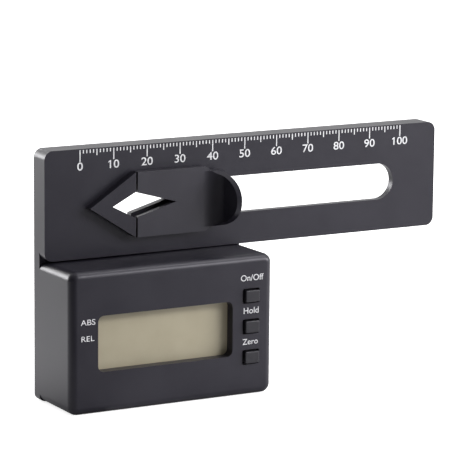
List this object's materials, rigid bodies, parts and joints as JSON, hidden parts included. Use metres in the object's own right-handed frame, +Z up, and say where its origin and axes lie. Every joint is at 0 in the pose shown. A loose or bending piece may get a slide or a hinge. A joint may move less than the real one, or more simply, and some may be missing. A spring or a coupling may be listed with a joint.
{
  "type": "digital pitch gauge",
  "caption": "Digital pitch gauge: a ruled slotted arm with a fixed and a sprung sliding V jaw that clamp a blade edge, over a deep case with a display and push buttons.",
  "frame": {"origin": "under the middle of the bounding box, in the plane that the display case stands on", "axes": "+X along the ruled arm, towards its free end; +Y to the back, away from the display; +Z up"},
  "size_m": [0.1222, 0.0232, 0.0684],
  "materials": {
    "black_plastic": "satin moulded black plastic",
    "key_plastic": "satin black button caps",
    "grey_plastic": "plain moulded plastic",
    "white_plastic": "matte white moulded plastic",
    "display": "warm grey liquid crystal display, blank",
    "connector_rubber": "matte conductive strip",
    "board": "green solder mask over glass fibre board",
    "chip": "matte black moulding compound",
    "screw_steel": "plated steel",
    "spring_steel": "bright spring wire and strip",
    "switch_metal": "tinned cover plate",
    "cell_sleeve": "plain printed metal sleeve"
  },
  "bodies": {
    "gauge": {"arm_and_rear_cover": "black_plastic", "display_case": "black_plastic", "clamp_spring": "spring_steel", "lcd_panel": "display", "lcd_frame": "white_plastic", "connector_strip_upper": "connector_rubber", "connector_strip_lower": "connector_rubber", "circuit_board": "board", "controller_chip": "chip", "tilt_sensor_chip": "chip", "on_off_switch_body": "switch_metal", "hold_switch_body": "switch_metal", "zero_switch_body": "switch_metal", "cell_upper": "cell_sleeve", "cell_lower": "cell_sleeve", "contact_minus": "spring_steel", "contact_plus": "spring_steel", "contact_bridge": "spring_steel", "case_screw_1": "screw_steel", "case_screw_2": "screw_steel", "case_screw_3": "screw_steel", "case_screw_4": "screw_steel", "board_screw_1": "screw_steel", "board_screw_2": "screw_steel", "board_screw_3": "screw_steel", "board_screw_4": "screw_steel"},
    "slider": {"sliding_jaw": "black_plastic", "slider_back_plate": "black_plastic", "slider_screw_1": "screw_steel", "slider_screw_2": "screw_steel"},
    "on_off_key": {"on_off_button": "key_plastic", "on_off_switch_stem": "grey_plastic"},
    "hold_key": {"hold_button": "key_plastic", "hold_switch_stem": "grey_plastic"},
    "zero_key": {"zero_button": "key_plastic", "zero_switch_stem": "grey_plastic"},
    "door": {"battery_door": "black_plastic"}
  },
  "joints": [
    {"name": "clamp_slide", "type": "slide", "parent": "gauge", "child": "slider", "axis": [1, 0, 0], "range_m": [0, 0.0595], "stiffness_N_per_m": 40, "deforming": ["clamp_spring"]},
    {"name": "on_off_press", "type": "slide", "parent": "gauge", "child": "on_off_key", "axis": [0, 1, 0], "range_m": [0, 0.0005], "stiffness_N_per_m": 1500},
    {"name": "hold_press", "type": "slide", "parent": "gauge", "child": "hold_key", "axis": [0, 1, 0], "range_m": [0, 0.0005], "stiffness_N_per_m": 1500},
    {"name": "zero_press", "type": "slide", "parent": "gauge", "child": "zero_key", "axis": [0, 1, 0], "range_m": [0, 0.0005], "stiffness_N_per_m": 1500},
    {"name": "battery_door_slide", "type": "slide", "parent": "gauge", "child": "door", "axis": [1, 0, 0], "range_m": [0, 0.058]}
  ]
}
